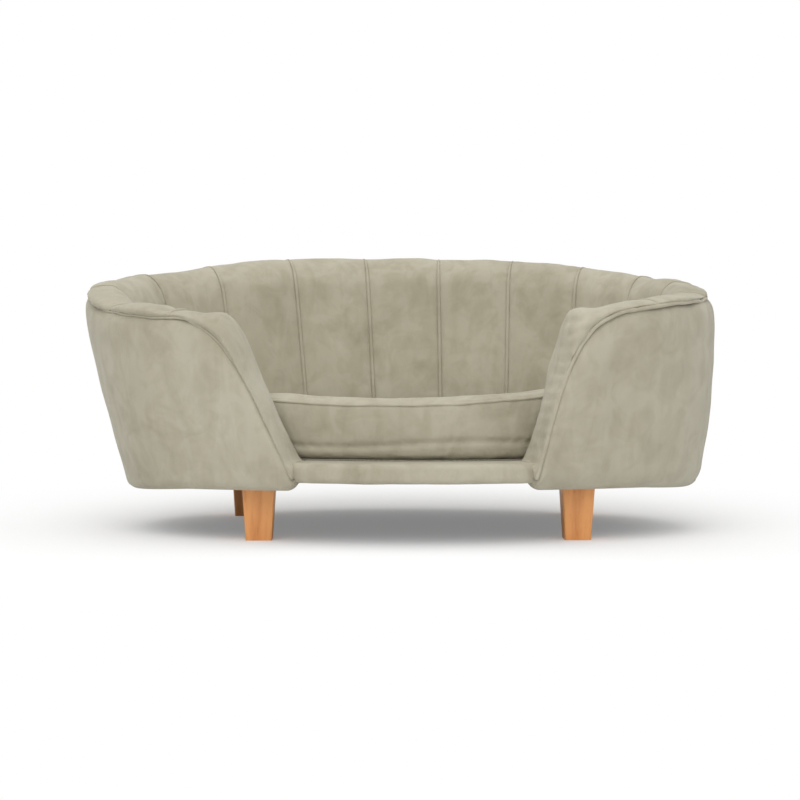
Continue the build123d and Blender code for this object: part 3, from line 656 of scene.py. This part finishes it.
def make_channels(material):
    """One padded lobe for each channel, between two seams, with slanting pleats on the right arm's front."""
    seam_gap, gathered, pleat_depth, pleat_start = 0.0002, 12, 0.0013, 0.655
    edges = (LEFT_END, *CHANNEL_SEAMS, RIGHT_END)
    for number, node in enumerate(CHANNELS):
        start, end = edges[number] + seam_gap, edges[number + 1] - seam_gap
        distance = spread_rows(start, end, spacing=0.0024, end_spacing=0.0014)
        share = (distance - distance[0]) / (distance[-1] - distance[0])
        fullness = seam_fullness(share)
        points = lining_rings(distance, fullness, 0.0015, CHANNEL_PUFF, crest_puff_at(distance))
        normals = grid_normals(points)
        column = np.arange(points.shape[1])[None, :]
        soft = 0.0012 * ripple(points, 0.060, 20 + number) + 0.0004 * ripple(points, 0.024, 50 + number)
        above = np.clip(points[..., 2] - seam_height(distance)[:, None], 0, None)
        folds = gathers(distance[:, None], above, reach=0.012, size=0.0006) * (column < gathered)
        on_right_front = smooth_step((distance[:, None] - pleat_start) / 0.02)
        roll = np.clip(1.0 - np.abs(column - 10.0) / 14.0, 0.0, 1.0)
        pleats = np.sin(distance[:, None] / 0.0040 + points[..., 2] / 0.0018)
        folds = folds + pleat_depth * on_right_front * roll * pleats
        points = points - normals * ((soft * fullness[:, None] + folds) * (column < LINING_SHOWN))[..., None]
        make_piece(f"{node}_velvet", tube_mesh(points), material, "tub", [node])


def make_channel_piping(material):
    """A thin covered cord in each seam between two channels, from the seat over the rim to the welt."""
    for number, place in enumerate(CHANNEL_SEAMS):
        distance = np.array([place])
        rings = lining_rings(distance, np.zeros(1), 0.0035, CHANNEL_PUFF, crest_puff_at(distance))
        line = rings[0, 1:62]
        fine = np.linspace(0, len(line) - 1, 150)
        path = np.stack([np.interp(fine, np.arange(len(line)), line[:, axis]) for axis in range(3)], axis=1)
        over_rim = np.exp(-(((fine - 15.0) / 9.0) ** 2)) * smooth_step((place + 0.50) / 0.08)
        radius = 0.0021 - 0.0011 * over_rim
        bearing = bearing_at(place)
        rings = tube_along(path, radius, hint=(np.cos(bearing), -np.sin(bearing), 0.0))
        make_piece(f"channel_piping_{number + 1:02d}", tube_mesh(rings), material, "tub")


def make_rim_welt(material):
    """The covered cord of the outer seam, half sunk between the cover and the channels."""
    distance = spread_rows(LEFT_END + 0.001, RIGHT_END - 0.001, spacing=0.0035, end_spacing=0.0012)
    right = smooth_step((distance + 0.25) / 0.5)
    proud = 0.0016 * right - seam_tuck(distance)
    height = seam_height(distance) + 0.0005 * np.sin(distance / 0.0060) * np.sin(distance / 0.037)
    path = leaning_place(distance, lambda bearing, z: outer_face(bearing, z) + proud, height)
    radius = 0.0015 + 0.0006 * right + 0.00018 * np.sin(distance / 0.0023) * np.sin(distance / 0.019)
    bearing = bearing_at(distance)
    outward = np.stack([np.sin(bearing), np.cos(bearing), 0.0 * bearing], axis=1)
    rings = tube_along(path, radius, hint=outward)
    make_piece("rim_welt_cord", tube_mesh(rings), material, "tub", ["rim_welt"])


def make_front_rail(material):
    """The strip under the cushion: a rounded box in section, soft along its top, carried round the front."""
    corner, flap = 0.0065, 0.0027
    half = OPENING_HALF_WIDTH + 0.004
    place = np.linspace(-half, half, 160)
    bearing = np.pi - (place - OPENING_OFFSET) / FRONT_RADIUS
    set_back = 0.0015 + 0.0040 * smooth_step((np.abs(place) - half + 0.022) / 0.018)
    turn = np.linspace(0, np.pi / 2, 9)
    outline = [(-corner + corner * np.sin(a), RAIL_TOP - corner + corner * np.cos(a)) for a in turn]
    outline += [(-corner + corner * np.cos(a), LIP_UNDERSIDE + corner - corner * np.sin(a)) for a in turn]
    outline += [(-LIP_WIDTH, LIP_UNDERSIDE), (-LIP_WIDTH, BASE_UNDERSIDE), (-COVER_THICKNESS, BASE_UNDERSIDE)]
    outline += [(-COVER_THICKNESS, RAIL_TOP - flap), (-BATTEN_REACH, RAIL_TOP - flap)]
    outline += [(-reach, RAIL_TOP) for reach in (BATTEN_REACH, 0.040, 0.024, 0.012)]
    across, height = np.array(outline).T
    on_face = np.clip(1.0 + across / 0.024, 0.0, 1.0)[None, :]
    radius = FRONT_RADIUS + across[None, :] - set_back[:, None] * on_face
    x = CENTRE[0] + radius * np.sin(bearing)[:, None]
    y = CENTRE[1] + FRONT_OFFSET + radius * np.cos(bearing)[:, None]
    points = np.stack([x, y, np.broadcast_to(height, x.shape)], axis=-1)
    normals = grid_normals(points)
    shown = (np.arange(len(outline)) < 2 * len(turn))[None, :]
    points = points + normals * (0.0005 * ripple(points, 0.05, 8) * shown)[..., None]
    mesh_data = tube_mesh(points)
    make_piece("front_rail_velvet", mesh_data, material, "tub", ["front_rail_cover"])


# Cushion
def cushion_seam_height(points_x, points_y):
    """Height of the cushion's top seam: a plane low at the back, with a dip in the middle of the front."""
    half_width, bow, tilt, dip = 0.13, 0.0060, 0.003, 0.0015
    x = np.clip((points_x - CENTRE[0]) / half_width, -1.15, 1.15)
    front = smooth_step((-0.05 - points_y) / 0.08)
    return CUSHION_SEAM - 0.002 - CUSHION_SLOPE * points_y + (bow * x**2 + tilt * x - dip) * front


def oval_at(bearing, inset):
    """Points of the plan moved inwards by an inset, at bearings from minus pi to pi."""
    distance = np.sign(bearing) * np.interp(np.abs(bearing), ARC_BEARINGS, ARC_DISTANCES)
    return wall_place(distance, -inset, 0.0 * bearing)[..., :2]


def at_heights(place, height):
    """Points over places of the plan."""
    return np.concatenate([place, height[:, None]], axis=1)


def cushion_grid(columns=288):
    """Rings from the middle of the underside out, up the boxing, over the seam and in to the middle.

    The boxing is a parabola in height, drawn in at both seams. The top dips from the seam towards its
    middle by a smooth step, and its corners are drawn in.
    """
    bearing = np.linspace(-np.pi, np.pi, columns, endpoint=False)
    edge = oval_at(bearing, CUSHION_INSET)
    seam = cushion_seam_height(edge[:, 0], edge[:, 1])
    foot = CUSHION_FOOT + 0.0 * seam
    rings = []
    middle = CENTRE + np.array([0.0, -0.012])
    corner, full_bow, top_draw, over_seam, top_dip = 0.005, 0.0016, 0.009, 0.0015, 0.0075
    start = oval_at(bearing, CUSHION_INSET + 0.012)

    def ring(inset, height):
        rings.append(at_heights(oval_at(bearing, inset), height))

    def inner_ring(share, height):
        rings.append(at_heights(middle + (start - middle) * share, height))

    for share in (0.12, 0.35, 0.6, 0.82, 0.95):
        inner_ring(share, foot)
    for angle in np.linspace(0, np.pi / 2, 8):
        ring(CUSHION_INSET + corner - corner * np.sin(angle), foot + corner - corner * np.cos(angle))
    for share in np.linspace(0.04, 0.96, 18):
        bow = full_bow * 4 * share * (1 - share)
        ring(CUSHION_INSET - bow, foot + corner + (seam - foot - corner) * share)
    for angle in np.linspace(0.15, 1.0, 6) * np.pi / 2:
        inset = CUSHION_INSET + full_bow + top_draw * (1 - np.cos(angle))
        ring(inset, seam + over_seam * np.sin(angle))
    for share in (0.95, 0.88, 0.78, 0.66, 0.52, 0.38, 0.24, 0.10):
        level = seam * share + (1 - share) * (CUSHION_SEAM - 0.004) + over_seam
        inner_ring(share, level - top_dip * smooth_step((1 - share) / 0.35))
    return np.stack(rings)


def make_cushion(material):
    """The loose cushion, blown up a little as cloth, then creased along its seams."""
    piece = make_piece("seat_cushion_velvet", tube_mesh(cushion_grid()), material, "cushion",
                       ["seat_cushion"])
    puff_as_cloth(piece, voxel=0.005, pressure=4.0, frames=20, cap=0.0035)
    crease_cushion(piece)
    return piece


def puff_as_cloth(piece, voxel, pressure, frames, cap):
    """Remesh, let cloth with pressure swell for some frames, and keep each outward move within a cap."""
    scene = bpy.context.scene
    bpy.context.view_layer.objects.active = piece
    remesh = piece.modifiers.new("Even", "REMESH")
    remesh.mode = "VOXEL"
    remesh.voxel_size = voxel
    bpy.ops.object.modifier_apply(modifier=remesh.name)
    start, outward = vertex_rows(piece.data), vertex_rows(piece.data, "normal")
    cloth = piece.modifiers.new("Cloth", "CLOTH")
    cloth.settings.use_pressure = True
    cloth.settings.uniform_pressure_force = pressure
    cloth.settings.effector_weights.gravity = 0.0
    cloth.point_cache.frame_start = 1
    cloth.point_cache.frame_end = frames
    for number in range(1, frames + 1):
        scene.frame_set(number)
    moved = vertex_rows(piece.evaluated_get(bpy.context.evaluated_depsgraph_get()).data)
    piece.modifiers.remove(cloth)
    scene.frame_set(1)
    swell = np.clip(((moved - start) * outward).sum(axis=1, keepdims=True), 0.0, cap)
    set_places(piece.data, start + outward * swell)
    finer = piece.modifiers.new("Finer", "SUBSURF")
    finer.levels = 1
    finer.render_levels = 1
    bpy.ops.object.modifier_apply(modifier=finer.name)
    piece.data.shade_smooth()


def nearest_bearing(x, y):
    """Bearing, inset and outward normal of points near the plan, by looking them up on a fine outline."""
    bearing = np.linspace(-np.pi, np.pi, 1440, endpoint=False)
    line = oval_at(bearing, CUSHION_INSET)
    found = np.empty(len(x), dtype=int)
    for start in range(0, len(x), 20000):
        part = slice(start, start + 20000)
        gap = (x[part, None] - line[None, :, 0]) ** 2 + (y[part, None] - line[None, :, 1]) ** 2
        found[part] = np.argmin(gap, axis=1)
    normal = np.stack([np.sin(bearing[found]), np.cos(bearing[found])], axis=1)
    inset = -((np.stack([x, y], axis=1) - line[found]) * normal).sum(axis=1)
    return bearing[found], inset, normal


def crease_cushion(piece):
    """Seams pressed into the boxing: each draws the cloth in by a bell curve of the distance to it.

    How far the boxing stands out is held below a limit by a smooth minimum, lower where the zip is.
    """
    low_draw, low_width, top_draw, top_width = 0.0022, 0.0030, 0.0010, 0.0040
    zip_limit, limit_rise, blend = 0.0012, 0.0012, 0.0008
    place = vertex_rows(piece.data)
    x, y, z = place.T
    bearing, inset, normal = nearest_bearing(x, y)
    on_side = smooth_step((0.022 - inset) / 0.012)
    low_seam = CUSHION_FOOT + 0.016 + 0.003 * np.sin(x / 0.05)
    to_end = smooth_step((np.abs(x - CENTRE[0]) - 0.06) / 0.05)
    pucker = 1.0 + 0.4 * to_end * np.sin(x / 0.0026 + 2 * np.sin(x / 0.02))
    draw = low_draw * np.exp(-((z - low_seam) / low_width) ** 2) * pucker
    draw += top_draw * np.exp(-((z - cushion_seam_height(x, y)) / top_width) ** 2)
    soft = 0.0010 * ripple(place, 0.06, 5) + 0.0004 * ripple(place, 0.022, 6)
    reach = -inset - (draw - soft) * on_side
    limit = zip_limit + limit_rise * smooth_step((np.abs(bearing) - 0.55) / 0.2)
    held = limit - blend * np.log1p(np.exp(np.clip((limit - reach) / blend, -40.0, 40.0)))
    reach = np.where(inset < 0.02, held, reach)
    place[:, :2] += normal * (reach + inset)[:, None]
    z += 0.0012 * ripple(place, 0.075, 7) * (1 - on_side) * (z > 0.11)
    np.maximum(z, CUSHION_FOOT, out=z)
    set_places(piece.data, place)


def make_cushion_welt(material, cushion):
    """The covered cord of the cushion's top seam, a closed loop laid on the finished velvet."""
    radius, stand_off = 0.0016, 0.0005
    bearing = np.linspace(-np.pi, np.pi, 640, endpoint=False)
    outside = oval_at(bearing, CUSHION_INSET - 0.004)
    height = cushion_seam_height(outside[:, 0], outside[:, 1]) + 0.0004 * np.sin(bearing * 37)
    start = at_heights(outside, height).tolist()
    depsgraph = bpy.context.evaluated_depsgraph_get()
    path = np.array([cushion.closest_point_on_mesh(point, depsgraph=depsgraph)[1][:] for point in start])
    for _ in range(6):
        path = 0.5 * path + 0.25 * (np.roll(path, 1, axis=0) + np.roll(path, -1, axis=0))
    path[:, :2] += stand_off * np.stack([np.sin(bearing), np.cos(bearing)], axis=1)
    rings = tube_along(path, radius + 0.0001 * np.sin(bearing * 90), closed=True)
    make_piece("cushion_welt_cord", ring_mesh(rings), material, "cushion", ["cushion_welt"])


# Settings that a user would change
def colour_setting(name, description, colour):
    return bpy.props.FloatVectorProperty(
        name=name, description=description, subtype="COLOR", size=3, min=0.0, max=1.0, default=linear(colour))


class DogSofaColours(bpy.types.PropertyGroup):
    pile_pale: colour_setting("Pale pile", "Velvet where the pile lies towards the light", (188, 183, 164))
    pile_middle: colour_setting("Pile", "Usual colour of the velvet", (177, 171, 151))
    pile_shade: colour_setting("Dark pile", "Velvet where the pile lies away from the light", (157, 150, 129))
    wood_pale: colour_setting("Beech", "Usual colour of the legs", (232, 162, 96))
    wood_deep: colour_setting("Beech grain", "Darker bands and flecks of the legs", (205, 130, 68))


class DogSofaView(bpy.types.PropertyGroup):
    distance: bpy.props.FloatProperty(
        name="Camera distance", description="From the camera to the tub", unit="LENGTH",
        default=2.050, min=0.5, max=10.0)
    height: bpy.props.FloatProperty(
        name="Camera height", description="Height of the camera over the floor", unit="LENGTH",
        default=0.219, min=0.0, max=3.0)
    aim_height: bpy.props.FloatProperty(
        name="Aim height", description="Height that the camera looks at", unit="LENGTH",
        default=0.169, min=0.0, max=1.0)
    turn: bpy.props.FloatProperty(
        name="Turn", description="How far the camera stands to the left of the front", unit="ROTATION",
        default=np.radians(1.895), min=-3.2, max=3.2)
    lens: bpy.props.FloatProperty(
        name="Lens", description="Focal length on a 36 mm sensor", default=81.29, min=10.0, max=300.0)
    floor_light: bpy.props.FloatProperty(
        name="World light", description="Strength of the even light", default=0.62, min=0.0, max=3.0)
    key_light: bpy.props.FloatProperty(
        name="Key light", description="Watts of the large soft lamp", default=26.0, min=0.0, max=500.0)


def sofa_velvet(context):
    """The sofa's velvet, made once."""
    colours = context.scene.dog_sofa_colours
    shades = [tuple(shade) for shade in (colours.pile_pale, colours.pile_middle, colours.pile_shade)]
    return bpy.data.materials.get("velvet_pile") or velvet("velvet_pile", *shades)


class DOGSOFA_OT_cover(bpy.types.Operator):
    """Dress the outside of the tub in velvet, with its welt"""

    bl_idname = "dogsofa.cover"
    bl_label = "Outer cover and welt"

    def execute(self, context):
        make_outer_cover(sofa_velvet(context))
        make_rim_welt(sofa_velvet(context))
        return {"FINISHED"}


class DOGSOFA_OT_channels(bpy.types.Operator):
    """Line the tub with padded channels and the piping between them"""

    bl_idname = "dogsofa.channels"
    bl_label = "Channels and piping"

    def execute(self, context):
        make_channels(sofa_velvet(context))
        make_channel_piping(sofa_velvet(context))
        return {"FINISHED"}


class DOGSOFA_OT_front_rail(bpy.types.Operator):
    """Cover the front rail between the arms"""

    bl_idname = "dogsofa.front_rail"
    bl_label = "Front rail"

    def execute(self, context):
        make_front_rail(sofa_velvet(context))
        return {"FINISHED"}


class DOGSOFA_OT_cushion(bpy.types.Operator):
    """Make the loose cushion and its welt"""

    bl_idname = "dogsofa.cushion"
    bl_label = "Seat cushion"

    def execute(self, context):
        cushion = make_cushion(sofa_velvet(context))
        make_cushion_welt(sofa_velvet(context), cushion)
        return {"FINISHED"}


class DOGSOFA_OT_hard_parts(bpy.types.Operator):
    """Give the legs, the frame and the fittings their finishes"""

    bl_idname = "dogsofa.hard_parts"
    bl_label = "Legs, frame and fittings"

    def execute(self, context):
        colours = context.scene.dog_sofa_colours
        zinc = bare_metal("zinc_plate", linear((196, 198, 196)), 0.38)
        nickel = bare_metal("zip_nickel", linear((188, 184, 172)), 0.3)
        posts = [f"post_{number:02d}" for number in range(1, 7)]
        finishes = {
            beech("beech_lacquer", tuple(colours.wood_pale), tuple(colours.wood_deep)): LEGS,
            plywood("birch_plywood"): ("base_panel", "rim_rail", "front_batten", *posts),
            fibreboard("bent_fibreboard"): ("outer_board", "lining_board"),
            woven("deck_cloth", linear((170, 164, 146)), linear((120, 114, 98)), 500.0): ("seat_deck",),
            woven("black_lining", linear((34, 34, 36)), linear((14, 14, 15)), 700.0): ("dust_cover",),
            zinc: ("post_screws", "hanger_bolts", "leg_nuts", "dust_cover_staples"),
            zip_tape("zip_band"): ("cushion_zip",),
            nickel: ("zip_slider", "zip_pull"),
        }
        for material, nodes in finishes.items():
            for node in nodes:
                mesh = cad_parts[node].data
                mesh.materials.clear()
                mesh.materials.append(material)
        return {"FINISHED"}


class DOGSOFA_OT_stage(bpy.types.Operator):
    """Set the pale floor, the soft light and the camera"""

    bl_idname = "dogsofa.stage"
    bl_label = "Stage and camera"

    def execute(self, context):
        view = context.scene.dog_sofa_view
        make_floor()
        make_world(view.floor_light)
        make_lamps(view.key_light)
        make_camera(view)
        context.scene.view_settings.view_transform = "Standard"
        return {"FINISHED"}


class DOGSOFA_PT_panel(bpy.types.Panel):
    bl_idname = "DOGSOFA_PT_panel"
    bl_label = "Dog Sofa Bed"
    bl_space_type = "VIEW_3D"
    bl_region_type = "UI"
    bl_category = "Dog Sofa"

    def draw(self, context):
        layout = self.layout
        for operator in OPERATORS:
            layout.operator(operator.bl_idname)
        for group in (context.scene.dog_sofa_colours, context.scene.dog_sofa_view):
            for name in group.bl_rna.properties.keys():
                if name not in ("rna_type", "name"):
                    layout.prop(group, name)


def whiten(tree, operation, first, second, shader, white, output):
    """Mix a shader with a white one, by the product or the larger of two values."""
    share = tree.nodes.new("ShaderNodeMath")
    share.operation = operation
    mix = tree.nodes.new("ShaderNodeMixShader")
    tree.links.new(first, share.inputs[0])
    tree.links.new(second, share.inputs[1])
    for number, source in enumerate((share, shader, white)):
        tree.links.new(source.outputs[0], mix.inputs[number])
    tree.links.new(mix.outputs[0], output.inputs["Surface"])


def make_floor():
    """A large pale floor that turns pure white away from the sofa; near the sofa a little white glow is
    painted light that lifts its shadow.
    """
    half = 6.0
    mesh = bpy.data.meshes.new("studio_floor")
    corners = [(-half, -half, 0), (half, -half, 0), (half, half, 0), (-half, half, 0)]
    mesh.from_pydata(corners, [], [(0, 1, 2, 3)])
    floor = add_object("studio_floor", mesh)
    material = bpy.data.materials.new("studio_floor")
    material.use_nodes = True
    nodes, links = material.node_tree.nodes, material.node_tree.links
    shader = nodes["Principled BSDF"]
    set_inputs(shader, {"Base Color": (0.93, 0.93, 0.93, 1.0), "Roughness": 0.9, "Specular IOR Level": 0.0})
    white = nodes.new("ShaderNodeEmission")
    place = nodes.new("ShaderNodeTexCoord")
    length = nodes.new("ShaderNodeVectorMath")
    length.operation = "LENGTH"
    far = nodes.new("ShaderNodeMapRange")
    far.interpolation_type = "SMOOTHSTEP"
    # To Min is the least share of white glow: painted light that lifts the sofa's shadow on the floor
    set_inputs(far, {"From Min": 0.22, "From Max": 0.72, "To Min": 0.20})
    links.new(place.outputs["Object"], length.inputs[0])
    links.new(length.outputs["Value"], far.inputs["Value"])
    camera_ray = nodes.new("ShaderNodeLightPath").outputs["Is Camera Ray"]
    whiten(material.node_tree, "MULTIPLY", far.outputs["Result"], camera_ray, shader, white,
           nodes["Material Output"])
    mesh.materials.append(material)


def make_world(strength):
    """Even light all round, seen as white by the camera and by shiny things."""
    world = bpy.data.worlds.new("studio")
    bpy.context.scene.world = world
    world.use_nodes = True
    nodes = world.node_tree.nodes
    light, white = nodes["Background"], nodes.new("ShaderNodeBackground")
    set_inputs(light, {"Strength": strength, "Color": (1.0, 1.0, 1.0, 1.0)})
    set_inputs(white, {"Color": (1.0, 1.0, 1.0, 1.0)})
    seen = nodes.new("ShaderNodeLightPath").outputs
    whiten(world.node_tree, "MAXIMUM", seen["Is Camera Ray"], seen["Is Glossy Ray"], light, white,
           nodes["World Output"])


def aim_at(holder, height):
    """Turn an object's view or light to the middle of the tub, at a height."""
    aim = Vector((CENTRE[0], CENTRE[1], height)) - holder.location
    holder.rotation_euler = aim.to_track_quat("-Z", "Y").to_euler()


def make_lamps(power):
    """A large soft lamp above the front left, a weaker one to the right and one overhead."""
    lamps = (
        ("key_lamp", (-0.5, -1.7, 2.0), 2.4, power * 1.05),
        ("fill_lamp", (1.5, -1.2, 1.3), 1.8, power * 0.10),
        ("top_lamp", (0.1, 0.3, 2.3), 2.6, power * 0.6),
    )
    for name, place, size, watts in lamps:
        lamp = bpy.data.lights.new(name, "AREA")
        lamp.shape = "DISK"
        lamp.size = size
        lamp.energy = watts
        holder = add_object(name, lamp)
        holder.location = place
        aim_at(holder, 0.15)


# Where the lens axis meets the 800 pixel picture of the sofa, and the picture's small roll
PICTURE_SIDE = 800
AXIS_PIXEL = (415.0, 378.1)
ROLL = np.radians(0.14)


def make_camera(view):
    camera = bpy.data.cameras.new("front_camera")
    camera.sensor_width = 36.0
    camera.lens = view.lens
    camera.shift_x = (PICTURE_SIDE / 2 - AXIS_PIXEL[0]) / PICTURE_SIDE
    camera.shift_y = (AXIS_PIXEL[1] - PICTURE_SIDE / 2) / PICTURE_SIDE
    holder = add_object("front_camera", camera)
    back_off = view.distance * np.array([np.sin(view.turn), np.cos(view.turn)])
    holder.location = (CENTRE[0] - back_off[0], CENTRE[1] - back_off[1], view.height)
    aim_at(holder, view.aim_height)
    holder.rotation_euler.rotate_axis("Z", ROLL)
    bpy.context.scene.camera = holder


OPERATORS = (
    DOGSOFA_OT_cover, DOGSOFA_OT_channels, DOGSOFA_OT_front_rail, DOGSOFA_OT_cushion, DOGSOFA_OT_hard_parts,
    DOGSOFA_OT_stage,
)
CLASSES = (DogSofaColours, DogSofaView, *OPERATORS, DOGSOFA_PT_panel)


def register():
    for cls in CLASSES:
        bpy.utils.register_class(cls)
    bpy.types.Scene.dog_sofa_colours = bpy.props.PointerProperty(type=DogSofaColours)
    bpy.types.Scene.dog_sofa_view = bpy.props.PointerProperty(type=DogSofaView)


def unregister():
    del bpy.types.Scene.dog_sofa_view
    del bpy.types.Scene.dog_sofa_colours
    for cls in reversed(CLASSES):
        bpy.utils.unregister_class(cls)


def main():
    register()
    bpy.ops.dogsofa.cover()
    bpy.ops.dogsofa.channels()
    bpy.ops.dogsofa.front_rail()
    bpy.ops.dogsofa.cushion()
    bpy.ops.dogsofa.hard_parts()
    bpy.ops.dogsofa.stage()


if __name__ == "__main__":
    main()
